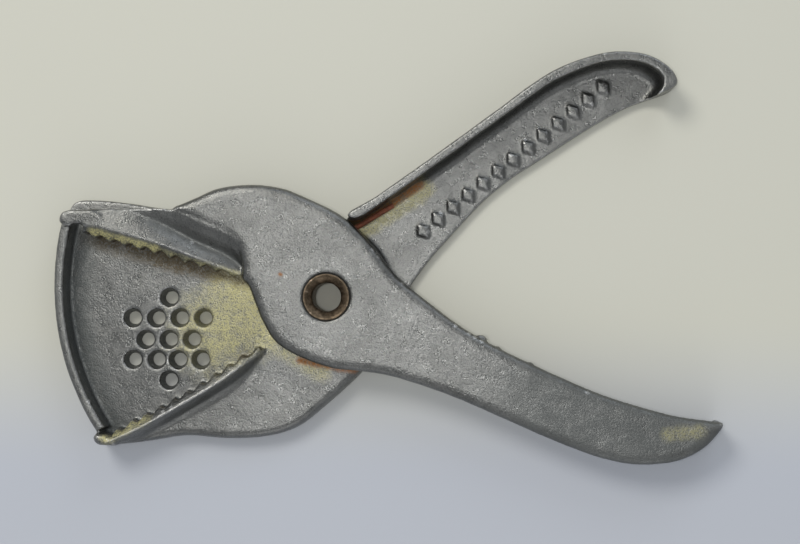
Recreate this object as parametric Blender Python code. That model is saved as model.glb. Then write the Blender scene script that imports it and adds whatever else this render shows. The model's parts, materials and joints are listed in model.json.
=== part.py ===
"""Plier-type citrus squeezer: two cast levers turning on a hollow rivet, sprung open.

It lies on its back with the jaws towards -X, the handles towards +X and the pivot along +Z.
Shapes are drawn in millimetres about the pivot and scaled to metres when a mesh is made.
"""
import math

import bmesh
import bpy
from mathutils import Vector

MM = 0.001
WELD = 0.000002              # points closer than this are one point, in metres
FOLD_TOLERANCE = 0.05

# ---- driving dimensions, in millimetres ----
THICKNESS = 13.8            # back face to front face of the two levers together
GAP = 0.3                   # running clearance between the levers
MATING = THICKNESS / 2.0    # middle plane, where the two castings meet
BACK_TOP = MATING - GAP / 2.0
FRONT_BOTTOM = MATING + GAP / 2.0
WEB = 2.6                   # thickness of each handle's web
FLANGE_HEIGHT = 12.4        # how far a flange reaches from its own lever's outer face

BORE_RADIUS = 5.1           # hole for the rivet
SINK_RADIUS = 7.3           # countersink of that hole at the outer face
SINK_DEPTH = 1.9
TUBE_OUTER = 5.0            # hollow rivet
TUBE_INNER = 4.05
FLARE_OUTER = 6.7
FLARE_INNER = 6.1

WIRE_RADIUS = 0.75          # torsion spring
COIL_RADIUS = 13.2
LEG_ANGLE = 31.0            # direction of the spring's back leg
BISECTOR = 6.9              # half-way direction between the two handles
LEG_LENGTH = 30.0
SPRING_BACK_Z = 4.9
SPRING_FRONT_Z = THICKNESS - SPRING_BACK_Z
GROOVE_HALF_WIDTH = 1.15
GROOVE_FLOOR = 3.9

PLATE_START = 22.0          # radius where the perforated plate begins to slope down
PLATE_END = 76.0
PLATE_EDGE_Z = 3.6          # height of the plate's face at its rim
RIM_CENTRE = (-2.0, 3.5)
RIM_INNER = 74.5
RIM_OUTER = 77.3
RIM_TOP = 11.0
HOLE_FRONT_RADIUS = 2.75    # drain holes taper towards the back
HOLE_BACK_RADIUS = 1.8

UPPER_TEETH = 11
LOWER_TEETH = 12
TOOTH_DEPTH = 1.6
STEPS_PER_TOOTH = 6
CURVE_STEPS = 3             # straight pieces in each span of a drawn outline


# ---- outline and mesh helpers ----
def spline(points, steps=CURVE_STEPS, closed=True):
    """A Catmull-Rom curve through the given points."""
    count = len(points)
    spans = count if closed else count - 1
    result = []
    for i in range(spans):
        if closed:
            p = [Vector(points[(i + k) % count]) for k in (-1, 0, 1, 2)]
        else:
            p = [Vector(points[min(max(i + k, 0), count - 1)]) for k in (-1, 0, 1, 2)]
        for step in range(steps):
            t = step / steps
            result.append(0.5 * ((2 * p[1]) + (p[2] - p[0]) * t
                                 + (2 * p[0] - 5 * p[1] + 4 * p[2] - p[3]) * t * t
                                 + (3 * p[1] - p[0] - 3 * p[2] + p[3]) * t ** 3))
    if not closed:
        result.append(Vector(points[-1]))
    return result


def arc(centre, radius, start, end, steps):
    """Points along an arc, angles in degrees."""
    result = []
    for i in range(steps + 1):
        angle = math.radians(start + (end - start) * i / steps)
        result.append(Vector((centre[0] + radius * math.cos(angle),
                              centre[1] + radius * math.sin(angle))))
    return result


def signed_area(loop):
    return 0.5 * sum(a.x * b.y - b.x * a.y for a, b in zip(loop, loop[1:] + loop[:1]))


def inset(loop, distance):
    """Moves an anticlockwise outline inwards along its own normals."""
    result = []
    count = len(loop)
    for i in range(count):
        before = (loop[i] - loop[i - 1]).normalized()
        after = (loop[(i + 1) % count] - loop[i]).normalized()
        tangent = (before + after).normalized()
        stretch = 1.0 / max(0.5, tangent.dot(after))
        result.append(loop[i] + Vector((-tangent.y, tangent.x)) * distance * stretch)
    return drop_folds(loop, result, distance)


def drop_folds(loop, moved, distance):
    """Draws points that an inset brought too near another side to their nearest good neighbour."""
    count = len(loop)
    edges = list(zip(loop, loop[1:] + loop[:1]))
    good = [min((point - nearest_on_edge(point, a, b)).length for a, b in edges)
            > distance - FOLD_TOLERANCE for point in moved]
    result = []
    for i in range(count):
        offsets = sorted(range(-count // 2, count // 2 + 1), key=abs)
        result.append(next(moved[(i + k) % count] for k in offsets if good[(i + k) % count]))
    return result


def nearest_on_edge(point, a, b):
    along = b - a
    share = (point - a).dot(along) / max(along.length_squared, 1e-12)
    return a + along * min(max(share, 0.0), 1.0)


def solid_from_loops(name, loops):
    """Joins equal loops of (x, y, z) into one closed solid with flat ends."""
    bm = bmesh.new()
    rows = [[bm.verts.new(Vector(p) * MM) for p in loop] for loop in loops]
    count = len(rows[0])
    for lower, upper in zip(rows, rows[1:]):
        for i in range(count):
            j = (i + 1) % count
            bm.faces.new((lower[i], lower[j], upper[j], upper[i]))
    bm.faces.new(list(reversed(rows[0])))
    bm.faces.new(rows[-1])
    return link_mesh(name, bm)


def link_mesh(name, bm):
    """Makes an object of a closed mesh, with doubled points merged and faces outwards."""
    bmesh.ops.remove_doubles(bm, verts=bm.verts, dist=WELD)
    bmesh.ops.recalc_face_normals(bm, faces=bm.faces)
    mesh = bpy.data.meshes.new(name)
    bm.to_mesh(mesh)
    bm.free()
    piece = bpy.data.objects.new(name, mesh)
    bpy.context.scene.collection.objects.link(piece)
    return piece


def block(name, outline, levels):
    """A cast block: the outline stacked at each (height, inset)."""
    loop = [Vector(p) for p in outline]
    if signed_area(loop) < 0:
        loop.reverse()
    return solid_from_loops(name, [[(p.x, p.y, z) for p in inset(loop, amount)]
                                   for z, amount in levels])


def turned(name, profile, steps, start=0.0, end=360.0):
    """A solid turned about the pivot from a closed profile of (radius, height)."""
    full = abs(end - start) >= 360.0
    count = steps if full else steps + 1
    loops = []
    for i in range(count):
        angle = math.radians(start + (end - start) * i / steps)
        loops.append([(r * math.cos(angle), r * math.sin(angle), z) for r, z in profile])
    if not full:
        return solid_from_loops(name, loops)
    bm = bmesh.new()
    rows = [[bm.verts.new(Vector(p) * MM) for p in loop] for loop in loops]
    for i in range(count):
        row, following = rows[i], rows[(i + 1) % count]
        for k in range(len(profile)):
            m = (k + 1) % len(profile)
            bm.faces.new((row[k], row[m], following[m], following[k]))
    return link_mesh(name, bm)


def cylinder(name, centre, levels, steps):
    """A round plug through the given (height, radius) levels."""
    loops = [[(p.x, p.y, z) for p in arc(centre, radius, 0.0, 360.0, steps)[:-1]]
             for z, radius in levels]
    return solid_from_loops(name, loops)


def combine(target, tool, operation):
    """Applies one Boolean and removes the tool."""
    modifier = target.modifiers.new("combine", "BOOLEAN")
    modifier.operation = operation
    modifier.solver = "EXACT"
    modifier.object = tool
    graph = bpy.context.evaluated_depsgraph_get()
    mesh = bpy.data.meshes.new_from_object(target.evaluated_get(graph))
    target.modifiers.clear()
    used = target.data
    target.data = mesh
    bpy.data.meshes.remove(used)
    used = tool.data
    bpy.data.objects.remove(tool)
    bpy.data.meshes.remove(used)


def union(target, *tools):
    for tool in tools:
        combine(target, tool, "UNION")


def cut(target, *tools):
    for tool in tools:
        combine(target, tool, "DIFFERENCE")


def plate_height(point):
    """Height of the perforated plate's face: level at the hub, then a shallow cone."""
    radius = math.hypot(point[0], point[1])
    along = min(max((radius - PLATE_START) / (PLATE_END - PLATE_START), 0.0), 1.0)
    return BACK_TOP + (PLATE_EDGE_Z - BACK_TOP) * along


# ---- shapes shared by the two levers ----
def jaw(name, teeth, tips, ridge, valley, shoulder, foot_height, swept_radius):
    """A toothed jaw wall lofted along four guide curves, from the pivot end outwards.

    Nearer the pivot than swept_radius it stays below the face that the other lever sweeps.
    """
    steps = teeth * STEPS_PER_TOOTH // (len(tips) - 1)
    guides = [spline(guide, steps, closed=False) for guide in (tips, ridge, valley, shoulder)]
    count = len(guides[0])
    loops = []
    for i in range(count):
        tip, crest, hollow, edge = (capped(guide[i], swept_radius) for guide in guides)
        width = (crest - tip).to_2d().length
        depth = min(TOOTH_DEPTH, 0.75 * width)
        share = depth / width * abs(math.sin(math.pi * teeth * i / (count - 1)))
        root = tip.lerp(crest, share)
        slope = crest.lerp(hollow, 0.5)
        slope.z = crest.z + 0.42 * (hollow.z - crest.z)
        rise = hollow.lerp(edge, 0.5)
        rise.z = hollow.z + 0.64 * (edge.z - hollow.z)
        loops.append([
            (root.x, root.y, foot_height(root)), root, crest, slope, hollow, rise, edge,
            (edge.x, edge.y, foot_height(edge)),
        ])
    return solid_from_loops(name, loops)


def capped(point, swept_radius):
    """The point, lowered where the other lever would sweep over it."""
    ceiling = BACK_TOP - 0.1 + max(0.0, math.hypot(point.x, point.y) - swept_radius)
    return Vector((point.x, point.y, min(point.z, ceiling)))


def leg_direction(angle):
    return Vector((math.cos(math.radians(angle)), math.sin(math.radians(angle))))


def leg_slot(name, angle, side, low, high):
    """Cutter for a spring leg that leaves the coil at a tangent."""
    along = leg_direction(angle)
    across = Vector((-along.y, along.x)) * side
    start = across * COIL_RADIUS - along * 2.0
    end = across * COIL_RADIUS + along * (LEG_LENGTH + 1.0)
    half = across * GROOVE_HALF_WIDTH
    loop = [start - half, end - half, end + half, start + half]
    return block(name, loop, [(low, 0.0), (high, 0.0)])


def rivet_hole(name, outer_z, sink_z, inner_z):
    """Bore with a countersink at the outer face; the cutter runs past both faces."""
    past = 1.0 if outer_z > inner_z else -1.0
    widening = (SINK_RADIUS - BORE_RADIUS) / SINK_DEPTH
    levels = [(outer_z + past, SINK_RADIUS + widening), (sink_z, BORE_RADIUS),
              (inner_z - past, BORE_RADIUS)]
    return cylinder(name, (0.0, 0.0), sorted(levels), 48)


def groove(name, low, high):
    """Cutter for the ring-shaped pocket that holds the coil."""
    inner = COIL_RADIUS - GROOVE_HALF_WIDTH
    outer = COIL_RADIUS + GROOVE_HALF_WIDTH
    return turned(name, [(inner, low), (outer, low), (outer, high), (inner, high)], 64)


# ---- back lever: plate, rim, lower jaw, hub and upper handle ----
def back_lever():
    hub_outline = spline([
        (-67.9, -39.0), (-67.6, -41.0), (-66.0, -42.8), (-61.4, -43.0), (-52.0, -42.0),
        (-42.0, -40.4), (-32.0, -41.2), (-22.0, -41.0), (-14.0, -39.7), (-7.5, -36.8),
        (-1.0, -31.5), (5.0, -26.3), (10.6, -20.6), (15.4, -11.5), (18.4, -2.0),
        (18.5, 6.0), (14.5, 14.0), (8.0, 19.6), (3.0, 22.6), (-3.0, 24.6),
        (-11.0, 26.8), (-21.0, 27.4), (-32.0, 26.4), (-42.0, 25.6), (-50.0, 26.3),
        (-61.0, 28.0), (-70.0, 28.7), (-74.6, 28.2), (-76.6, 26.0)], closed=False)
    rim_side = arc(RIM_CENTRE, RIM_OUTER, 166.0, 212.0, 14)
    body = block("back_lever", hub_outline + rim_side,
                 [(0.0, 0.5), (0.5, 0.05), (2.0, 0.0), (4.9, 0.35), (6.2, 0.95),
                  (BACK_TOP, 1.9)])
    sector = turned("sector", [(PLATE_START, BACK_TOP), (PLATE_END + 8.0, PLATE_EDGE_Z - 0.47),
                               (PLATE_END + 8.0, 20.0), (PLATE_START, 20.0)], 32, 112.0, 218.0)
    cut(body, sector)

    rim_outline = (arc(RIM_CENTRE, RIM_OUTER, 166.0, 213.4, 16)
                   + arc(RIM_CENTRE, RIM_INNER, 213.4, 166.0, 16))
    rim = block("rim", rim_outline, [(1.0, -0.3), (6.0, -0.15), (RIM_TOP - 0.7, 0.0),
                                     (RIM_TOP - 0.2, 0.25), (RIM_TOP, 0.7)])

    tips = [(-16.8, -12.7, 6.3), (-24.8, -16.8, 9.0), (-32.7, -22.1, 9.8),
            (-40.7, -27.0, 10.2), (-48.6, -31.5, 10.5), (-56.5, -35.5, 10.7),
            (-64.2, -39.8, 10.8)]
    ridge = [(-16.9, -14.4, 6.5), (-25.2, -20.3, 10.7), (-33.3, -25.9, 11.8),
             (-41.2, -30.5, 12.4), (-49.0, -35.0, 12.9), (-56.8, -39.1, 13.1),
             (-63.8, -42.0, 13.1)]
    valley = [(-17.0, -15.0, 6.5), (-24.8, -22.9, 7.3), (-32.8, -28.3, 7.7),
              (-41.0, -33.1, 7.8), (-49.2, -37.6, 7.9), (-57.0, -41.0, 8.2),
              (-63.6, -42.5, 9.2)]
    shoulder = [(-17.2, -15.4, 6.4), (-23.8, -25.5, 6.6), (-32.3, -31.3, 6.6),
                (-41.0, -36.1, 6.5), (-49.7, -40.3, 6.0), (-57.3, -42.1, 5.0),
                (-63.4, -42.8, 5.0)]
    wall = jaw("lower_jaw", LOWER_TEETH, tips, ridge, valley, shoulder,
               lambda point: 1.0, 23.4)
    lip = block("lip", [(-64.6, -39.3), (-66.6, -39.2), (-67.5, -40.3), (-67.2, -41.6),
                        (-66.0, -42.6), (-61.0, -42.9), (-60.0, -41.0)],
                [(1.0, 0.0), (11.2, 0.0), (12.1, 0.4), (12.5, 1.0)])
    union(body, rim, wall, lip)

    handle_outline = spline([
        (4.6, 22.4), (14.0, 28.8), (29.4, 39.6), (46.6, 52.0), (61.2, 62.6), (69.8, 67.0),
        (78.3, 69.7), (85.0, 70.3), (91.4, 69.5), (96.6, 67.0), (100.0, 63.2), (99.2, 59.6),
        (88.0, 55.6), (77.4, 50.0), (61.7, 40.0), (52.9, 34.3), (44.1, 26.9), (32.7, 14.6),
        (27.3, 8.0), (22.6, 1.0), (20.0, -6.0), (12.0, -4.0), (0.0, 8.0)])
    handle = block("handle", handle_outline,
                   [(0.0, 1.4), (0.3, 0.7), (1.0, 0.1), (FLANGE_HEIGHT - 0.6, 0.0),
                    (FLANGE_HEIGHT - 0.15, 0.15), (FLANGE_HEIGHT, 0.45)])
    channel_outline = spline([
        (3.4, 25.4), (6.4, 22.9), (9.6, 23.0), (15.6, 26.8), (31.0, 37.6), (48.2, 50.0),
        (62.6, 60.3),
        (70.8, 64.5), (78.8, 67.1), (85.4, 67.7), (91.0, 66.8), (95.0, 64.4), (96.4, 61.6),
        (95.4, 59.0), (93.0, 56.0), (86.0, 48.0), (60.0, 30.0), (40.0, 8.0), (24.0, -14.0),
        (0.0, -10.0), (-12.0, 10.0), (-8.0, 26.0)])
    channel = block("channel", channel_outline,
                    [(WEB, 2.5), (WEB + 0.5, 1.6), (WEB + 1.4, 0.8), (WEB + 2.8, 0.2),
                     (WEB + 4.2, 0.0), (FLANGE_HEIGHT - 0.5, 0.0),
                     (FLANGE_HEIGHT + 0.2, -0.35), (20.0, -0.35)])
    cut(handle, channel)
    union(body, handle)

    cut(body, rivet_hole("bore", 0.0, SINK_DEPTH, BACK_TOP),
        groove("spring_groove", GROOVE_FLOOR, 20.0),
        leg_slot("leg_slot", LEG_ANGLE, 1.0, GROOVE_FLOOR, 20.0))
    for centre in hole_centres():
        cut(body, cylinder("drain", centre, [(-1.0, HOLE_BACK_RADIUS), (0.0, HOLE_BACK_RADIUS),
                                             (plate_height(centre) + 0.3, HOLE_FRONT_RADIUS + 0.05),
                                             (12.0, HOLE_FRONT_RADIUS + 0.05)], 20))
    return body


def hole_centres():
    """Thirteen drain holes in a diamond: rows of one, four, three, four and one."""
    rows = [(0.0, [-46.6]), (-6.0, [-57.5, -50.4, -43.5, -36.5]), (-12.3, [-53.6, -46.7, -39.9]),
            (-18.2, [-57.4, -50.3, -44.0, -37.3]), (-24.2, [-46.7])]
    return [(x, y) for y, row in rows for x in row]


# ---- front lever: hub, upper jaw and lower handle ----
def front_lever():
    outline = spline([
        (-24.3, 5.2), (-24.3, 8.6), (-24.9, 12.2), (-27.4, 16.6), (-35.6, 20.9), (-41.2, 23.6),
        (-44.4, 25.1), (-43.8, 26.1), (-41.5, 27.0), (-36.6, 29.1), (-30.8, 31.4), (-22.0, 32.4),
        (-13.4, 31.4), (-7.7, 29.3), (3.9, 23.6), (11.0, 17.2), (16.8, 10.0), (20.8, 5.2),
        (28.5, -0.9), (38.8, -8.6), (49.1, -14.4), (58.5, -19.0), (78.0, -27.6),
        (95.0, -32.8), (103.0, -34.4), (110.0, -35.3), (112.8, -35.9), (112.0, -38.0),
        (108.0, -42.4), (101.7, -46.0), (95.0, -47.4), (86.5, -47.4), (78.0, -45.7), (69.5, -42.7),
        (59.3, -38.5), (38.8, -29.5), (20.8, -23.2), (9.6, -21.2), (2.0, -20.4),
        (-5.0, -18.3), (-11.0, -15.5), (-15.4, -12.1), (-18.6, -6.6), (-21.0, -0.6),
        (-22.5, 3.2)])
    bottom = THICKNESS - FLANGE_HEIGHT
    body = block("front_lever", outline,
                 [(bottom, 1.1), (bottom + 0.25, 0.5), (bottom + 0.9, 0.0), (11.9, 0.0),
                  (12.9, 0.4), (13.5, 1.2), (THICKNESS, 2.6)])
    underside = block("underside", [(-95.0, -65.0), (13.6, -65.0), (13.6, -19.6), (17.0, -17.0),
                                    (34.0, -8.0), (34.0, 65.0), (-95.0, 65.0)],
                      [(-5.0, 0.0), (FRONT_BOTTOM, 0.0)])
    channel_outline = spline([
        (16.4, -16.6), (18.2, -18.9), (22.6, -20.9), (39.8, -27.1), (60.2, -36.1), (70.3, -40.3),
        (78.6, -43.2), (86.8, -44.8), (94.6, -44.8), (100.4, -43.6), (104.8, -41.2),
        (108.0, -38.6), (112.0, -34.4), (108.0, -28.0), (78.0, -20.0), (58.0, -10.0),
        (36.0, 4.0), (22.0, 14.0), (12.0, 15.4), (17.4, 9.0), (19.6, 0.0), (17.6, -9.0)])
    channel = block("channel", channel_outline,
                    [(-5.0, 0.0), (THICKNESS - WEB - 2.8, 0.2), (THICKNESS - WEB - 1.4, 0.7),
                     (THICKNESS - WEB - 0.5, 1.3), (THICKNESS - WEB, 1.8)])
    cut(body, underside, channel)

    tips = [(-23.6, 4.9, 9.0), (-31.7, 7.0, 9.4), (-39.8, 9.4, 10.0), (-48.0, 11.9, 10.3),
            (-56.0, 13.9, 10.5), (-63.9, 15.9, 10.6), (-71.0, 17.7, 10.7)]
    ridge = [(-23.7, 5.9, 9.8), (-31.9, 9.0, 11.2), (-40.0, 12.3, 12.3), (-48.2, 15.3, 13.0),
             (-56.6, 17.7, 13.4), (-64.4, 19.7, 13.5), (-70.3, 20.8, 13.5)]
    valley = [(-23.9, 8.5, 9.3), (-29.7, 12.6, 9.4), (-38.0, 16.2, 9.7), (-46.5, 20.6, 10.4),
              (-54.8, 23.9, 11.8), (-63.0, 24.9, 12.6), (-68.9, 25.0, 12.9)]
    shoulder = [(-22.6, 9.2, 12.6), (-26.3, 16.6, 13.5), (-35.2, 21.2, 13.6),
                (-45.4, 25.2, 13.0), (-54.6, 25.4, 12.1), (-63.0, 25.4, 12.5),
                (-68.8, 25.4, 12.8)]
    wall = jaw("upper_jaw", UPPER_TEETH, tips, ridge, valley, shoulder,
               lambda point: plate_height(point) + GAP + 0.1, 0.0)
    ear = block("ear", [(-77.3, 21.5), (-77.3, 23.2), (-76.4, 24.6), (-74.3, 25.25), (-68.0, 25.2),
                        (-65.0, 24.0), (-65.0, 20.2), (-70.5, 20.9), (-73.4, 21.2),
                        (-74.2, 20.4), (-76.2, 20.4), (-76.6, 21.3)],
                [(RIM_TOP + GAP + 0.1, 0.0), (12.7, 0.0), (13.2, 0.3), (13.4, 0.7)])
    union(body, wall, ear)
    front_leg = 2.0 * BISECTOR - LEG_ANGLE
    cut(body, rivet_hole("bore", THICKNESS, THICKNESS - SINK_DEPTH, FRONT_BOTTOM),
        groove("spring_groove", -5.0, THICKNESS - GROOVE_FLOOR),
        leg_slot("leg_slot", front_leg, -1.0, -5.0, THICKNESS - GROOVE_FLOOR))
    return body


# ---- pivot ----
def hollow_rivet():
    """Steel tube with both ends flared into the countersinks."""
    lift = 0.25
    top = THICKNESS + lift
    neck = THICKNESS - SINK_DEPTH
    profile = [(TUBE_INNER, SINK_DEPTH + 0.1), (FLARE_INNER, 0.15), (FLARE_OUTER - 0.2, 0.1),
               (FLARE_OUTER, 0.35), (TUBE_OUTER, SINK_DEPTH), (TUBE_OUTER, neck),
               (FLARE_OUTER, THICKNESS - 0.1), (FLARE_OUTER - 0.1, top - 0.1),
               (FLARE_INNER + 0.1, top), (FLARE_INNER - 0.3, top - 0.2),
               (TUBE_INNER, neck - 0.1)]
    return turned("hollow_rivet", profile, 48)


def torsion_spring():
    """Round wire: back leg, two and a third turns about the rivet, front leg."""
    front_leg = 2.0 * BISECTOR - LEG_ANGLE
    start = LEG_ANGLE + 90.0
    end = front_leg - 90.0 + 360.0 * 3.0
    turns = 60
    route = []
    for i in range(turns + 1):
        share = i / turns
        angle = math.radians(start + (end - start) * share)
        height = SPRING_BACK_Z + (SPRING_FRONT_Z - SPRING_BACK_Z) * share
        route.append(Vector((COIL_RADIUS * math.cos(angle), COIL_RADIUS * math.sin(angle),
                             height)))
    back_tip = route[0] + leg_direction(LEG_ANGLE).to_3d() * LEG_LENGTH
    front_tip = route[-1] + leg_direction(front_leg).to_3d() * LEG_LENGTH
    route = [back_tip] + route + [front_tip]
    curve = bpy.data.curves.new("torsion_spring", "CURVE")
    curve.dimensions = "3D"
    curve.bevel_depth = WIRE_RADIUS * MM
    curve.bevel_resolution = 1
    curve.use_fill_caps = True
    wire = curve.splines.new("POLY")
    wire.points.add(len(route) - 1)
    for point, place in zip(wire.points, route):
        point.co = (*(place * MM), 1.0)
    piece = bpy.data.objects.new("torsion_spring", curve)
    bpy.context.scene.collection.objects.link(piece)
    return piece


# ---- finishes ----
def finish(piece, name, colour, roughness, metallic):
    material = bpy.data.materials.new(name)
    material.use_nodes = True
    shader = material.node_tree.nodes["Principled BSDF"]
    shader.inputs["Base Color"].default_value = (*colour, 1.0)
    shader.inputs["Roughness"].default_value = roughness
    shader.inputs["Metallic"].default_value = metallic
    piece.data.materials.clear()
    piece.data.materials.append(material)
    if piece.type == "MESH":
        piece.data.shade_smooth()
        piece.data.set_sharp_from_angle(angle=math.radians(35.0))


def centre_on_floor(frame, pieces):
    """Puts the middle of the box round all the pieces over the origin."""
    bpy.context.view_layer.update()
    corners = [piece.matrix_world @ Vector(c) for piece in pieces for c in piece.bound_box]
    middle = [(min(c[i] for c in corners) + max(c[i] for c in corners)) / 2 for i in range(3)]
    frame.location = (-middle[0], -middle[1], -min(c[2] for c in corners))


def main():
    for existing in list(bpy.data.objects):
        bpy.data.objects.remove(existing)
    pivot = bpy.data.objects.new("pivot", None)
    bpy.context.scene.collection.objects.link(pivot)
    pieces = [back_lever(), front_lever(), hollow_rivet(), torsion_spring()]
    finish(pieces[0], "cast_back", (0.50, 0.50, 0.49), 0.42, 1.0)
    finish(pieces[1], "cast_front", (0.53, 0.53, 0.53), 0.40, 1.0)
    finish(pieces[2], "rivet_steel", (0.24, 0.19, 0.14), 0.45, 1.0)
    finish(pieces[3], "spring_steel", (0.26, 0.12, 0.06), 0.70, 0.6)
    for piece in pieces:
        piece.parent = pivot
    centre_on_floor(pivot, pieces)


main()
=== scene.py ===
"""Cast aluminium citrus squeezer: finished castings, rivet, spring and stage round its frame."""
import json
import math

import bmesh
import bpy
import numpy as np
from bpy.props import FloatProperty, FloatVectorProperty, IntProperty, PointerProperty
from bpy.types import Operator, Panel, PropertyGroup
from mathutils import Matrix, Vector, noise


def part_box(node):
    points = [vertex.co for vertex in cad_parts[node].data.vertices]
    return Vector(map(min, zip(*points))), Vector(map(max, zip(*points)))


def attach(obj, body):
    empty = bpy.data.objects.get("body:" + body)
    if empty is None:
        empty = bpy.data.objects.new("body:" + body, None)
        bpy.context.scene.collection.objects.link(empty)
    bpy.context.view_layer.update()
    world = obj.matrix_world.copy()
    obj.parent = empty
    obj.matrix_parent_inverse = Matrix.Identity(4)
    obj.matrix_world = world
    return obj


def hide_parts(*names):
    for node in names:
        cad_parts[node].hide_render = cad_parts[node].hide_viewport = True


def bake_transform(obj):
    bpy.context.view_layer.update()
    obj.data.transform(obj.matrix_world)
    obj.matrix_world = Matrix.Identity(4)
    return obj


bl_info = {
    "name": "Citrus Squeezer",
    "version": (1, 0, 0),
    "blender": (4, 5, 0),
    "location": "3D View > Sidebar > Squeezer",
    "description": "Builds a plier squeezer's castings, rivet, spring and stage round its frame",
    "category": "Object",
}

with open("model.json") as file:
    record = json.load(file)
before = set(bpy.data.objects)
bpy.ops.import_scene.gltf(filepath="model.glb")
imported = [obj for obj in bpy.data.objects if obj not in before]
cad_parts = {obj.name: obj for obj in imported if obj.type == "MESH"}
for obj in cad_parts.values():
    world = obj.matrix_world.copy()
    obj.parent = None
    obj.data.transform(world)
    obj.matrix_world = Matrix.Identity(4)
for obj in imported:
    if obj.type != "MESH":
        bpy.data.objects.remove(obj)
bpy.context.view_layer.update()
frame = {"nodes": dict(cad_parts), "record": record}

MM = 0.001
JOINT = frame["record"]["behaviour"]["joints"][0]
PIVOT = Vector(JOINT["pos_m"]).to_2d()
RIVET_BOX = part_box("hollow_rivet")
SPRING_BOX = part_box("torsion_spring")

# Sizes in millimetres, angles in degrees
CASTING_TOP = 13.8
WEB = 2.6
LOZENGE_LENGTH = 3.7
LOZENGE_WIDTH = 5.0
LOZENGE_SLOPE = 0.25
FLASH_WIDTH = 1.2
FLASH_LOW, FLASH_HIGH = 10.4, 12.0
RIVET_BORE = 4.05
RIVET_TUBE = 5.0
SPRING_WIRE = 0.75
SPRING_COIL = 13.2
SPRING_LEG = 30.0
LEG_ANGLE = 31.0
BISECTOR = 6.9
MARK_FADE = 0.4

# Whole turns added to the front leg's angle, which make the coil about 2.4 turns
WHOLE_TURNS_ADDED = 3

WORN_METAL = (0.50, 0.50, 0.49)

# The camera's sensor in millimetres, and where the pivot stands in shares of the view's width
SENSOR = 36.0
PIVOT_ACROSS_VIEW = -0.0925
PIVOT_UP_VIEW = -0.03125


def place(x, y, z=0.0):
    """A point given in millimetres about the pivot, in the frame's metres."""
    return Vector((PIVOT.x + x * MM, PIVOT.y + y * MM, z * MM))


# ---------------------------------------------------------------- properties
class SqueezerCasting(PropertyGroup):
    voxel: FloatProperty(
        name="Surface Detail", description="Size of the finest step in a casting's surface",
        default=0.0004, min=0.0002, max=0.002, unit="LENGTH", precision=5)
    rounding: IntProperty(
        name="Edge Rounding", description="Smoothing passes that round a casting's edges",
        default=5, min=0, max=40)
    unevenness: FloatProperty(
        name="Unevenness", description="Height of the slow waves left by the sand mould",
        default=0.00010, min=0.0, max=0.001, unit="LENGTH", precision=5)
    roughcast: FloatProperty(
        name="Mould Grain", description="Height of the fine lumps left by the sand mould",
        default=0.00003, min=0.0, max=0.0005, unit="LENGTH", precision=5)
    lozenge_count: IntProperty(
        name="Lozenges", description="Raised lozenges on the upper handle",
        default=13, min=0, max=30)
    lozenge_height: FloatProperty(
        name="Lozenge Relief", description="How far the lozenges stand above the web",
        default=0.0008, min=0.0, max=0.002, unit="LENGTH", precision=5)


class SqueezerColours(PropertyGroup):
    metal: FloatVectorProperty(
        name="Cast Metal", description="Clean cast aluminium",
        subtype="COLOR", size=3, min=0.0, max=1.0, default=(0.20, 0.20, 0.190))
    # Darkened aluminium; also the colour of painted shade in hollows, in the jaws' valleys, along
    # the rim and over the outer lower handle.
    patina_and_painted_shade: FloatVectorProperty(
        name="Patina", description="Darkened aluminium in hollows",
        subtype="COLOR", size=3, min=0.0, max=1.0, default=(0.085, 0.092, 0.09))
    residue: FloatVectorProperty(
        name="Residue", description="Dried juice on the plate and teeth",
        subtype="COLOR", size=3, min=0.0, max=1.0, default=(0.50, 0.46, 0.22))
    # Brown grime; also the colour of painted shadow on the plate and wall below the upper teeth and
    # of painted shade in the lower jaw's tooth pockets.
    dirt_and_painted_shade: FloatVectorProperty(
        name="Dirt", description="Brown dirt below the teeth and by the spring",
        subtype="COLOR", size=3, min=0.0, max=1.0, default=(0.085, 0.065, 0.035))
    rust: FloatVectorProperty(
        name="Rust Stain", description="Rust that the spring has left on the castings",
        subtype="COLOR", size=3, min=0.0, max=1.0, default=(0.27, 0.115, 0.035))
    rivet: FloatVectorProperty(
        name="Rivet Steel", description="Browned steel of the rivet",
        subtype="COLOR", size=3, min=0.0, max=1.0, default=(0.20, 0.15, 0.10))
    spring: FloatVectorProperty(
        name="Spring Steel", description="Rusted spring wire",
        subtype="COLOR", size=3, min=0.0, max=1.0, default=(0.23, 0.07, 0.03))
    floor: FloatVectorProperty(
        name="Floor", description="Plain pale floor",
        subtype="COLOR", size=3, min=0.0, max=1.0, default=(0.59, 0.583, 0.505))
    floor_low: FloatVectorProperty(
        name="Near Floor", description="Cooler tone of the floor below the squeezer",
        subtype="COLOR", size=3, min=0.0, max=1.0, default=(0.475, 0.497, 0.545))


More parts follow.
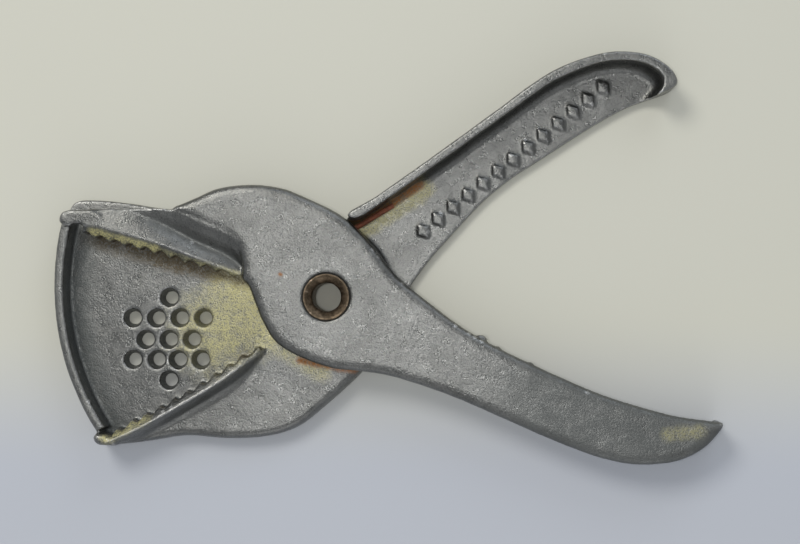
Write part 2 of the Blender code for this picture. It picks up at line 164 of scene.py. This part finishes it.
class SqueezerStage(PropertyGroup):
    distance: FloatProperty(
        name="Camera Distance", description="From the camera to the front of the rivet",
        default=0.450, min=0.1, max=3.0, unit="LENGTH")
    lens: FloatProperty(
        name="Lens", description="Focal length on a 36 mm wide sensor",
        default=70.9, min=20.0, max=200.0)
    turn: FloatProperty(
        name="Camera Turn", description="How far the camera stands towards the handles",
        default=math.radians(2.1), subtype="ANGLE", unit="ROTATION")
    tilt: FloatProperty(
        name="Camera Tilt", description="How far the camera stands towards the lower handle",
        default=math.radians(1.4), subtype="ANGLE", unit="ROTATION")
    key_power: FloatProperty(
        name="Key Light", description="Power of the large soft light in watts",
        default=6.5, min=0.0)
    low_power: FloatProperty(
        name="Low Light", description="Power of the light beyond the lower handle in watts",
        default=1.0, min=0.0)
    top_power: FloatProperty(
        name="Top Light", description="Power of the small light overhead in watts",
        default=0.55, min=0.0)
    side_power: FloatProperty(
        name="Side Light", description="Power of the bluish light beyond the upper handle in watts",
        default=1.6, min=0.0)
    room_light: FloatProperty(
        name="Room Light", description="Strength of the even light from all round",
        default=0.46, min=0.0)


# ---------------------------------------------------------------- mesh helpers
def link_piece(context, name, mesh):
    piece = bpy.data.objects.new(name, mesh)
    context.scene.collection.objects.link(piece)
    return piece


def apply_modifiers(context, piece):
    """Replaces a piece's mesh by what its modifiers make of it."""
    graph = context.evaluated_depsgraph_get()
    mesh = bpy.data.meshes.new_from_object(piece.evaluated_get(graph))
    piece.modifiers.clear()
    used = piece.data
    piece.data = mesh
    bpy.data.meshes.remove(used)


def shade_round(mesh):
    mesh.polygons.foreach_set("use_smooth", np.ones(len(mesh.polygons), bool))


def casting_from(context, node, name, relief=()):
    """Takes a lever's true shape, adds relief, and gives it a casting's soft edges and skin."""
    settings = context.scene.squeezer_casting
    bm = bmesh.new()
    bm.from_mesh(frame["nodes"][node].data)
    bmesh.ops.remove_doubles(bm, verts=bm.verts, dist=1e-6)
    for shape in relief:
        bm.from_mesh(shape)
        bpy.data.meshes.remove(shape)
    mesh = bpy.data.meshes.new(name)
    bm.to_mesh(mesh)
    bm.free()
    piece = link_piece(context, name, mesh)
    remesh = piece.modifiers.new("skin", "REMESH")
    remesh.mode = "VOXEL"
    remesh.voxel_size = settings.voxel
    smooth = piece.modifiers.new("soft edges", "SMOOTH")
    smooth.factor = 0.5
    smooth.iterations = settings.rounding
    apply_modifiers(context, piece)
    roughen(piece.data, settings.unevenness, settings.roughcast)
    shade_round(piece.data)
    return piece


def roughen(mesh, waves, lumps):
    """Moves every point along its normal by slow waves and fine lumps."""
    count = len(mesh.vertices)
    places = np.empty(count * 3)
    normals = np.empty(count * 3)
    mesh.vertices.foreach_get("co", places)
    mesh.vertices.foreach_get("normal", normals)
    places = places.reshape(-1, 3)
    shift = np.empty(count)
    for i, point in enumerate(places):
        spot = Vector(point)
        shift[i] = (waves * noise.noise(spot * 110.0) + 0.5 * waves * noise.noise(spot * 260.0)
                    + lumps * noise.noise(spot * 1400.0))
    places += normals.reshape(-1, 3) * shift[:, None]
    mesh.vertices.foreach_set("co", places.ravel())
    mesh.update()


def lozenge(name, centre, along, length, width, low, high):
    """A raised lozenge with sloping sides and a flat top."""
    across = Vector((-along.y, along.x))
    bm = bmesh.new()
    rows = []
    for z, share in ((low, 1.15), (high - LOZENGE_SLOPE * MM, 1.0), (high, 0.72)):
        rows.append([bm.verts.new((*(centre + along * a * share + across * b * share), z))
                     for a, b in ((length / 2, 0), (0, width / 2), (-length / 2, 0),
                                  (0, -width / 2))])
    for lower, upper in zip(rows, rows[1:]):
        for i in range(4):
            bm.faces.new((lower[i], lower[(i + 1) % 4], upper[(i + 1) % 4], upper[i]))
    bm.faces.new(list(reversed(rows[0])))
    bm.faces.new(rows[-1])
    bmesh.ops.recalc_face_normals(bm, faces=bm.faces)
    mesh = bpy.data.meshes.new(name)
    bm.to_mesh(mesh)
    bm.free()
    return mesh


def turned_mesh(name, profile, steps, centre, ripple):
    """A ring turned about +Z from a closed profile of (radius, height), a little out of true."""
    bm = bmesh.new()
    rows = []
    for i in range(steps):
        angle = 2.0 * math.pi * i / steps
        row = []
        for radius, height in profile:
            spot = Vector((math.cos(angle) * 3.0, math.sin(angle) * 3.0, radius * 400.0))
            wander = ripple * noise.noise(spot)
            row.append(bm.verts.new((centre.x + (radius + wander) * math.cos(angle),
                                     centre.y + (radius + wander) * math.sin(angle),
                                     height + 0.5 * wander)))
        rows.append(row)
    for i, row in enumerate(rows):
        following = rows[(i + 1) % steps]
        for k in range(len(profile)):
            m = (k + 1) % len(profile)
            bm.faces.new((row[k], row[m], following[m], following[k]))
    bmesh.ops.recalc_face_normals(bm, faces=bm.faces)
    mesh = bpy.data.meshes.new(name)
    bm.to_mesh(mesh)
    bm.free()
    shade_round(mesh)
    return mesh


# ---------------------------------------------------------------- material helpers
def new_material(name):
    material = bpy.data.materials.new(name)
    material.use_nodes = True
    tree = material.node_tree
    return material, tree, tree.nodes["Principled BSDF"]


def add(tree, kind, inputs=None, **settings):
    """Adds a node; an input may be a value or another node's output."""
    node = tree.nodes.new(kind)
    for key, value in settings.items():
        setattr(node, key, value)
    for key, value in (inputs or {}).items():
        if isinstance(value, bpy.types.NodeSocket):
            tree.links.new(value, node.inputs[key])
        else:
            node.inputs[key].default_value = value
    return node


def object_place(tree):
    return add(tree, "ShaderNodeTexCoord").outputs["Object"]


def grain(tree, place_socket, scale, detail=2.0, roughness=0.5):
    return add(tree, "ShaderNodeTexNoise", {"Vector": place_socket, "Scale": scale,
                                            "Detail": detail, "Roughness": roughness}).outputs["Fac"]


def math_node(tree, operation, first, second=0.0, clamp=False):
    return add(tree, "ShaderNodeMath", {0: first, 1: second}, operation=operation,
               use_clamp=clamp).outputs[0]


def vector_node(tree, operation, first, second=(0.0, 0.0, 0.0)):
    node = add(tree, "ShaderNodeVectorMath", {0: first, 1: second}, operation=operation)
    return node.outputs["Value" if operation in ("LENGTH", "DOT_PRODUCT") else "Vector"]


def spread(tree, value, low, high, out_low=0.0, out_high=1.0):
    """Maps low..high to out_low..out_high, held at both ends."""
    return add(tree, "ShaderNodeMapRange", {"Value": value, "From Min": low, "From Max": high,
                                            "To Min": out_low, "To Max": out_high},
               interpolation_type="SMOOTHSTEP").outputs["Result"]


def blend_colour(tree, share, first, second):
    """Mixes two colours, each a value or another node's output."""
    node = add(tree, "ShaderNodeMix", data_type="RGBA")
    for key, value in ((0, share), (6, first), (7, second)):
        if isinstance(value, bpy.types.NodeSocket):
            tree.links.new(value, node.inputs[key])
        elif key == 0:
            node.inputs[key].default_value = value
        else:
            node.inputs[key].default_value = (*value, 1.0)
    return node.outputs[2]


def near_line(tree, where, start, end, inner, outer, heights):
    """One near the line from start to end, fading to nought from inner to outer and past heights.

    The distances inner and outer and the heights are in millimetres.
    """
    inner, outer = inner * MM, outer * MM
    along = end - start
    offset = vector_node(tree, "SUBTRACT", where, tuple(start))
    share = vector_node(tree, "DOT_PRODUCT", offset,
                        tuple(along / max(along.length_squared, 1e-9)))
    share = math_node(tree, "MAXIMUM", math_node(tree, "MINIMUM", share, 1.0), 0.0)
    scaled = add(tree, "ShaderNodeVectorMath", {0: tuple(along), "Scale": share},
                 operation="SCALE").outputs["Vector"]
    distance = vector_node(tree, "LENGTH", vector_node(tree, "SUBTRACT", offset, scaled))
    ragged = math_node(tree, "SUBTRACT", grain(tree, where, 420.0, 4.0, 0.65), 0.5)
    ragged = math_node(tree, "MULTIPLY", ragged, 0.9 * (outer - inner))
    mask = spread(tree, math_node(tree, "ADD", distance, ragged), inner, outer, 1.0, 0.0)
    if heights:
        low, high = heights
        height = add(tree, "ShaderNodeSeparateXYZ", {"Vector": where}).outputs["Z"]
        above = spread(tree, height, (low - MARK_FADE) * MM, (low + MARK_FADE) * MM)
        below = spread(tree, height, (high - MARK_FADE) * MM, (high + MARK_FADE) * MM, 1.0, 0.0)
        within = math_node(tree, "MULTIPLY", above, below)
        mask = math_node(tree, "MULTIPLY", mask, within)
    return mask


def cast_metal(name, colours, stains_and_painted_shade):
    """Sand-cast aluminium: grainy, worn on its edges, with grime and painted shade in its hollows,
    with stain marks and bands of painted shade.

    A mark, whether a stain or a band of painted shade, is its colour, strength, the ends of its
    line, the distances from the line where it starts to fade and where it is gone, and, if it keeps
    to some heights, the lowest and highest.
    """
    material, tree, shader = new_material(name)
    where = object_place(tree)
    slow = grain(tree, where, 75.0, 5.0, 0.6)
    middling = grain(tree, where, 330.0, 4.0, 0.6)
    fine = grain(tree, where, 2300.0, 2.0, 0.7)
    pointed = add(tree, "ShaderNodeNewGeometry").outputs["Pointiness"]
    hollow = add(tree, "ShaderNodeAmbientOcclusion", {"Distance": 0.006}, samples=6).outputs["AO"]

    patchy = spread(tree, slow, 0.32, 0.70)
    colour = blend_colour(tree, patchy, [c * 0.72 for c in colours.metal], colours.metal)
    colour = blend_colour(tree, spread(tree, middling, 0.35, 0.75, 0.0, 0.30), colour,
                          [min(1.0, c * 1.35) for c in colours.metal])
    colour = blend_colour(tree, spread(tree, fine, 0.52, 0.30, 0.0, 0.75), colour,
                          colours.patina_and_painted_shade)
    worn = spread(tree, pointed, 0.51, 0.56, 0.0, 0.7)
    colour = blend_colour(tree, worn, colour, WORN_METAL)
    # Painted shade with some grime: ambient occlusion darkens hollows, creases and recesses toward
    # the darkened-aluminium colour.
    grime_and_painted_shade = math_node(tree, "MULTIPLY", spread(tree, hollow, 0.70, 0.20, 0.0, 0.85),
                       spread(tree, slow, 0.2, 0.6, 1.0, 0.7))
    colour = blend_colour(tree, grime_and_painted_shade, colour, colours.patina_and_painted_shade)

    dull = grime_and_painted_shade
    for mark_colour, strength, start, end, inner, outer, *heights in stains_and_painted_shade:
        mask = near_line(tree, where, start, end, inner, outer, heights)
        broken = math_node(tree, "MULTIPLY", spread(tree, middling, 0.30, 0.60, 0.45, 1.0),
                           spread(tree, fine, 0.38, 0.58, 0.25, 1.15))
        mask = math_node(tree, "MULTIPLY", mask,
                         math_node(tree, "MULTIPLY", broken, strength, clamp=True))
        colour = blend_colour(tree, mask, colour, mark_colour)
        dull = math_node(tree, "MAXIMUM", dull, mask)
    tree.links.new(colour, shader.inputs["Base Color"])
    metallic = math_node(tree, "SUBTRACT", 1.0, math_node(tree, "MULTIPLY", dull, 0.55))
    tree.links.new(metallic, shader.inputs["Metallic"])
    gloss = math_node(tree, "ADD", spread(tree, middling, 0.3, 0.7, 0.25, 0.36),
                      math_node(tree, "MULTIPLY", dull, 0.30))
    tree.links.new(gloss, shader.inputs["Roughness"])

    pits = add(tree, "ShaderNodeTexVoronoi", {"Vector": where, "Scale": 2000.0},
               feature="SMOOTH_F1").outputs["Distance"]
    height = math_node(tree, "ADD", fine, math_node(tree, "MULTIPLY", pits, 0.4))
    height = math_node(tree, "ADD", height, math_node(tree, "MULTIPLY", middling, 0.9))
    bump = add(tree, "ShaderNodeBump", {"Height": height, "Strength": 1.0,
                                        "Distance": 0.00011})
    tree.links.new(bump.outputs["Normal"], shader.inputs["Normal"])
    return material


def aged_steel(name, base, dark, roughness, metallic, scale):
    """Browned or rusted steel with fine pitting."""
    material, tree, shader = new_material(name)
    where = object_place(tree)
    patch = grain(tree, where, scale, 5.0, 0.7)
    fine = grain(tree, where, scale * 6.0, 3.0, 0.7)
    pointed = add(tree, "ShaderNodeNewGeometry").outputs["Pointiness"]
    colour = blend_colour(tree, spread(tree, patch, 0.35, 0.68), dark, base)
    colour = blend_colour(tree, spread(tree, pointed, 0.52, 0.60, 0.0, 0.5), colour,
                          [min(1.0, c * 2.2 + 0.1) for c in base])
    tree.links.new(colour, shader.inputs["Base Color"])
    shader.inputs["Metallic"].default_value = metallic
    tree.links.new(spread(tree, fine, 0.3, 0.7, roughness - 0.12, roughness + 0.15),
                   shader.inputs["Roughness"])
    bump = add(tree, "ShaderNodeBump", {"Height": math_node(tree, "ADD", patch, fine),
                                        "Strength": 0.5, "Distance": 0.00012})
    tree.links.new(bump.outputs["Normal"], shader.inputs["Normal"])
    return material


def dress(piece, material):
    piece.data.materials.clear()
    piece.data.materials.append(material)


# ---------------------------------------------------------------- pieces
class SQUEEZER_OT_back_lever(Operator):
    """Back lever: perforated plate, rim, lower jaw and the channelled upper handle"""
    bl_idname = "squeezer.back_lever"
    bl_label = "Back Lever"

    def execute(self, context):
        settings = context.scene.squeezer_casting
        colours = context.scene.squeezer_colours
        start, end = place(27.5, 19.4), place(80.0, 61.0)
        along = (end - start).to_2d().normalized()
        relief = []
        for i in range(settings.lozenge_count):
            centre = start.lerp(end, i / max(settings.lozenge_count - 1, 1)).to_2d()
            relief.append(lozenge("lozenge", centre, along, LOZENGE_LENGTH * MM,
                                  LOZENGE_WIDTH * MM, (WEB - 0.5) * MM,
                                  WEB * MM + settings.lozenge_height))
        piece = casting_from(context, "back_lever", "back_lever_casting", relief)
        stains_and_painted_shade = [
            (colours.residue, 0.75, place(-23, -4, 7), place(-34, -10, 6), 3, 17),
            (colours.residue, 0.8, place(-63.4, -40.4, 12), place(-52, -34.6, 11.5), 0.6,
             2.8, 9.8, 14.0),
            # Brown grime and painted shadow on the plate below the upper jaw's teeth, in these two
            # bands.
            (colours.dirt_and_painted_shade, 1.1, place(-71, 18.2, 4), place(-44, 10.5, 5.2), 0.6, 5),
            (colours.dirt_and_painted_shade, 1.3, place(-50, 12.0, 5), place(-33, 7.0, 6), 1, 4.4),
            (colours.residue, 0.6, place(-31, 5.4, 6), place(-24, 3.2, 6.5), 0.2, 6),
            # Brown grime and painted shadow on the plate below the upper teeth near the apex.
            (colours.dirt_and_painted_shade, 0.9, place(-34, 7.6, 6), place(-24, 4.6, 6.5), 0.2, 3.4),
            # Brown grime and painted shade in the pockets between the lower jaw's teeth.
            (colours.dirt_and_painted_shade, 1.9, place(-64, -40, 7.5), place(-24.5, -17, 7.5), 1.3, 2.6,
             6.4, 9.6),
            # Painted shade along the foot of the lower jaw's wall, in the darkened-aluminium colour.
            (colours.patina_and_painted_shade, 0.7, place(-61, -41.8, 8.5), place(-21, -19.8, 8), 0.8, 3),
            # Painted shadow of the rim on the plate and its shaded inner wall, with some grime, in
            # these two bands.
            (colours.patina_and_painted_shade, 1.0, place(-75, 17, 4), place(-76, -12, 4), 2, 9),
            (colours.patina_and_painted_shade, 1.0, place(-76, -12, 4), place(-65, -37, 4), 2, 9),
            (colours.residue, 0.6, place(7, 17.5, 4), place(28, 31.5, 3), 1.2, 4),
            (colours.rust, 1.3, place(5, 19.6, 4), place(26, 33.0, 3), 1, 2.5),
            (colours.dirt_and_painted_shade, 1.7, place(5, 20.6, 4), place(21, 30.6, 3), 0.5, 1.7),
            (colours.residue, 0.4, place(-19, -11, 7), place(-2, -21.5, 7), 1, 4.5),
            (colours.rust, 1.7, place(-8, -18.2, 7), place(9, -21.2, 7), 0.3, 1.9),
        ]
        dress(piece, cast_metal("cast_aluminium_back", colours, stains_and_painted_shade))
        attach(piece, "back")
        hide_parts("back_lever")
        return {"FINISHED"}


class SQUEEZER_OT_front_lever(Operator):
    """Front lever: disc, upper jaw and the lower handle with its rounded back"""
    bl_idname = "squeezer.front_lever"
    bl_label = "Front Lever"

    def execute(self, context):
        colours = context.scene.squeezer_colours
        along = (place(60.0, -19.5) - place(44.0, -10.8)).to_2d().normalized()
        flash = [lozenge("flash", place(x, y).to_2d(), along, length * MM, FLASH_WIDTH * MM,
                         FLASH_LOW * MM, FLASH_HIGH * MM)
                 for x, y, length in ((44.8, -11.5, 3.2), (49.1, -14.5, 2.2), (58.5, -19.2, 2.8))]
        piece = casting_from(context, "front_lever", "front_lever_casting", flash)
        stains_and_painted_shade = [
            (colours.residue, 0.95, place(-67.5, 18.5, 12.2), place(-50, 13.9, 11.8), 0.6,
             2.6, 9.9, 14.0),
            (colours.residue, 0.6, place(-50, 13.6, 11.4), place(-26, 6, 9.6), 0.6, 2.2,
             9.0, 14.0),
            # Brown grime and painted shadow on the upper jaw's inner wall below the teeth.
            (colours.dirt_and_painted_shade, 1.9, place(-71, 18.4, 6), place(-28, 7, 7.6), 1.6, 4, 0.0, 9.4),
            # Painted shade in the upper jaw's outer valley.
            (colours.patina_and_painted_shade, 0.7, place(-50, 21.8, 10.6), place(-26, 10.5, 9.2), 0.6, 3),
            # Painted shade over the outer lower handle, where the overhead light's highlight falls
            # off.
            (colours.patina_and_painted_shade, 0.75, place(70, -33, 14), place(112, -40, 14), 2, 36),
            (colours.residue, 0.4, place(97, -39, 14), place(106, -38, 14), 0.5, 3),
            (colours.dirt_and_painted_shade, 0.5, place(-45, 12, 14), place(-45, 13, 14), 0.2, 1),
            (colours.rust, 1.2, place(-13.2, 6.6, 14), place(-13.0, 6.4, 14), 0.2, 0.9),
        ]
        dress(piece, cast_metal("cast_aluminium_front", colours, stains_and_painted_shade))
        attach(piece, "front")
        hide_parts("front_lever")
        return {"FINISHED"}


class SQUEEZER_OT_rivet(Operator):
    """Hollow steel rivet with both ends flared into the levers"""
    bl_idname = "squeezer.rivet"
    bl_label = "Hollow Rivet"

    def execute(self, context):
        colours = context.scene.squeezer_colours
        low, high = RIVET_BOX[0][2], RIVET_BOX[1][2]
        rim = (RIVET_BOX[1][0] - RIVET_BOX[0][0]) / 2.0
        bore, tube = RIVET_BORE * MM, RIVET_TUBE * MM
        profile = []
        for end, into in ((low, 1.0), (high, -1.0)):
            side = [(bore, end + into * 2.3 * MM), (bore + 0.12 * MM, end + into * 1.9 * MM),
                    (bore + 0.6 * MM, end + into * 1.25 * MM),
                    (bore + 1.3 * MM, end + into * 0.65 * MM),
                    (rim - 0.75 * MM, end + into * 0.20 * MM),
                    (rim - 0.35 * MM, end), (rim - 0.08 * MM, end + into * 0.10 * MM),
                    (rim, end + into * 0.32 * MM), (rim - 0.15 * MM, end + into * 0.6 * MM),
                    (tube + 0.5 * MM, end + into * 1.5 * MM), (tube, end + into * 2.2 * MM)]
            profile += side if into > 0 else list(reversed(side))
        centre = (Vector(RIVET_BOX[0]) + Vector(RIVET_BOX[1])) / 2.0
        piece = link_piece(context, "hollow_rivet_flared",
                           turned_mesh("hollow_rivet", profile, 128, centre, 0.00008))
        finer = piece.modifiers.new("round", "SUBSURF")
        finer.levels = 1
        finer.render_levels = 1
        apply_modifiers(context, piece)
        shade_round(piece.data)
        dress(piece, aged_steel("browned_rivet_steel", colours.rivet,
                                [c * 0.35 for c in colours.rivet], 0.42, 1.0, 700.0))
        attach(piece, "back")
        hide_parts("hollow_rivet")
        return {"FINISHED"}


class SQUEEZER_OT_spring(Operator):
    """Torsion spring: coil hidden between the levers, one leg along each handle"""
    bl_idname = "squeezer.spring"
    bl_label = "Torsion Spring"

    def execute(self, context):
        colours = context.scene.squeezer_colours
        low = SPRING_BOX[0][2] / MM + SPRING_WIRE
        high = SPRING_BOX[1][2] / MM - SPRING_WIRE
        begin = math.radians(LEG_ANGLE + 90.0)
        finish = math.radians(2.0 * BISECTOR - LEG_ANGLE - 90.0 + WHOLE_TURNS_ADDED * 360.0)
        leg_steps, coil_steps = 13, 220
        route = [self.on_leg(begin, -1.0, 1.0 - i / leg_steps, low) for i in range(leg_steps)]
        for i in range(coil_steps + 1):
            share = i / coil_steps
            route.append(self.on_leg(begin + (finish - begin) * share, 0.0, 0.0,
                                     low + (high - low) * share))
        route += [self.on_leg(finish, 1.0, i / leg_steps, high) for i in range(1, leg_steps + 1)]
        curve = bpy.data.curves.new("torsion_spring", "CURVE")
        curve.dimensions = "3D"
        curve.bevel_depth = SPRING_WIRE * MM * 0.97
        curve.bevel_resolution = 4
        curve.use_fill_caps = True
        line = curve.splines.new("POLY")
        line.points.add(len(route) - 1)
        for point, spot in zip(line.points, route):
            point.co = (*spot, 1.0)
        drawn = link_piece(context, "spring_route", curve)
        graph = context.evaluated_depsgraph_get()
        mesh = bpy.data.meshes.new_from_object(drawn.evaluated_get(graph))
        bpy.data.objects.remove(drawn)
        bpy.data.curves.remove(curve)
        piece = link_piece(context, "torsion_spring_wire", mesh)
        roughen(mesh, 0.00001, 0.00002)
        shade_round(mesh)
        dress(piece, aged_steel("rusted_spring_wire", colours.spring,
                                [c * 0.4 for c in colours.spring], 0.72, 0.35, 900.0))
        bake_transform(piece)
        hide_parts("torsion_spring")
        return {"FINISHED"}

    def on_leg(self, angle, side, share, height):
        """A point at a share of the leg that leaves the coil at an angle, to one side of it."""
        away = angle + side * math.pi / 2
        return place(SPRING_COIL * math.cos(angle) + SPRING_LEG * share * math.cos(away),
                     SPRING_COIL * math.sin(angle) + SPRING_LEG * share * math.sin(away), height)


class SQUEEZER_OT_stage(Operator):
    """Plain pale floor, soft light and the camera"""
    bl_idname = "squeezer.stage"
    bl_label = "Stage"

    def execute(self, context):
        settings = context.scene.squeezer_stage
        colours = context.scene.squeezer_colours
        self.floor(context, colours)
        self.lights(context, settings)
        self.camera(context, settings)
        return {"FINISHED"}

    def floor(self, context, colours):
        bm = bmesh.new()
        bmesh.ops.create_grid(bm, x_segments=1, y_segments=1, size=3.0)
        mesh = bpy.data.meshes.new("floor")
        bm.to_mesh(mesh)
        bm.free()
        floor = link_piece(context, "floor", mesh)
        floor.location = (0.0, 0.0, -0.00005)
        material, tree, shader = new_material("pale_floor")
        where = object_place(tree)
        depth = add(tree, "ShaderNodeSeparateXYZ", {"Vector": where}).outputs["Y"]
        tone = blend_colour(tree, spread(tree, depth, -0.065, -0.015), colours.floor_low,
                            colours.floor)
        tree.links.new(tone, shader.inputs["Base Color"])
        shader.inputs["Roughness"].default_value = 0.75
        dress(floor, material)

    def lights(self, context, settings):
        context.scene.view_settings.view_transform = "Standard"
        world = bpy.data.worlds.new("room")
        world.use_nodes = True
        background = world.node_tree.nodes["Background"]
        background.inputs["Color"].default_value = (0.93, 0.96, 1.0, 1.0)
        background.inputs["Strength"].default_value = settings.room_light
        context.scene.world = world
        for name, spot, size, power, colour in (
                ("key", (-0.50, 0.66, 1.00), 0.50, settings.key_power, (1.0, 0.98, 0.93)),
                ("low", (0.15, -0.95, 0.40), 0.60, settings.low_power, (0.97, 0.98, 1.0)),
                ("side", (0.35, 0.85, 0.50), 0.60, settings.side_power, (0.84, 0.91, 1.0)),
                ("top", (-0.0155, -0.0156, 0.55), 0.06, settings.top_power, (1.0, 1.0, 1.0))):
            light = bpy.data.lights.new(name, "AREA")
            light.shape = "DISK"
            light.size = size
            light.energy = power
            light.color = colour
            lamp = bpy.data.objects.new(name, light)
            lamp.location = spot
            lamp.rotation_euler = (-Vector(spot)).to_track_quat("-Z", "Y").to_euler()
            context.scene.collection.objects.link(lamp)

    def camera(self, context, settings):
        backwards = Vector((math.sin(settings.turn), -math.sin(settings.tilt), 1.0)).normalized()
        right = Vector((0.0, 1.0, 0.0)).cross(backwards).normalized()
        up = backwards.cross(right)
        view_width = SENSOR / settings.lens * settings.distance
        spot = (place(0, 0, CASTING_TOP) - right * PIVOT_ACROSS_VIEW * view_width
                - up * PIVOT_UP_VIEW * view_width + backwards * settings.distance)
        data = bpy.data.cameras.new("camera")
        data.lens = settings.lens
        data.sensor_width = SENSOR
        data.clip_start = 0.01
        camera = bpy.data.objects.new("camera", data)
        turn = Matrix((right, up, backwards)).transposed().to_4x4()
        camera.matrix_world = Matrix.Translation(spot) @ turn
        context.scene.collection.objects.link(camera)
        context.scene.camera = camera


class SQUEEZER_PT_panel(Panel):
    bl_label = "Citrus Squeezer"
    bl_idname = "SQUEEZER_PT_panel"
    bl_space_type = "VIEW_3D"
    bl_region_type = "UI"
    bl_category = "Squeezer"

    def draw(self, context):
        for operator in OPERATORS:
            self.layout.operator(operator.bl_idname)
        for group in (context.scene.squeezer_casting, context.scene.squeezer_colours,
                      context.scene.squeezer_stage):
            box = self.layout.box()
            for name in group.__annotations__:
                box.prop(group, name)


OPERATORS = (SQUEEZER_OT_back_lever, SQUEEZER_OT_front_lever, SQUEEZER_OT_rivet,
             SQUEEZER_OT_spring, SQUEEZER_OT_stage)
GROUPS = (("squeezer_casting", SqueezerCasting), ("squeezer_colours", SqueezerColours),
          ("squeezer_stage", SqueezerStage))


def register():
    for name, group in GROUPS:
        bpy.utils.register_class(group)
        setattr(bpy.types.Scene, name, PointerProperty(type=group))
    for cls in (*OPERATORS, SQUEEZER_PT_panel):
        bpy.utils.register_class(cls)


def unregister():
    for cls in reversed((*OPERATORS, SQUEEZER_PT_panel)):
        bpy.utils.unregister_class(cls)
    for name, group in reversed(GROUPS):
        delattr(bpy.types.Scene, name)
        bpy.utils.unregister_class(group)


def main():
    register()
    bpy.ops.squeezer.back_lever()
    bpy.ops.squeezer.front_lever()
    bpy.ops.squeezer.rivet()
    bpy.ops.squeezer.spring()
    bpy.ops.squeezer.stage()


if __name__ == "__main__":
    main()
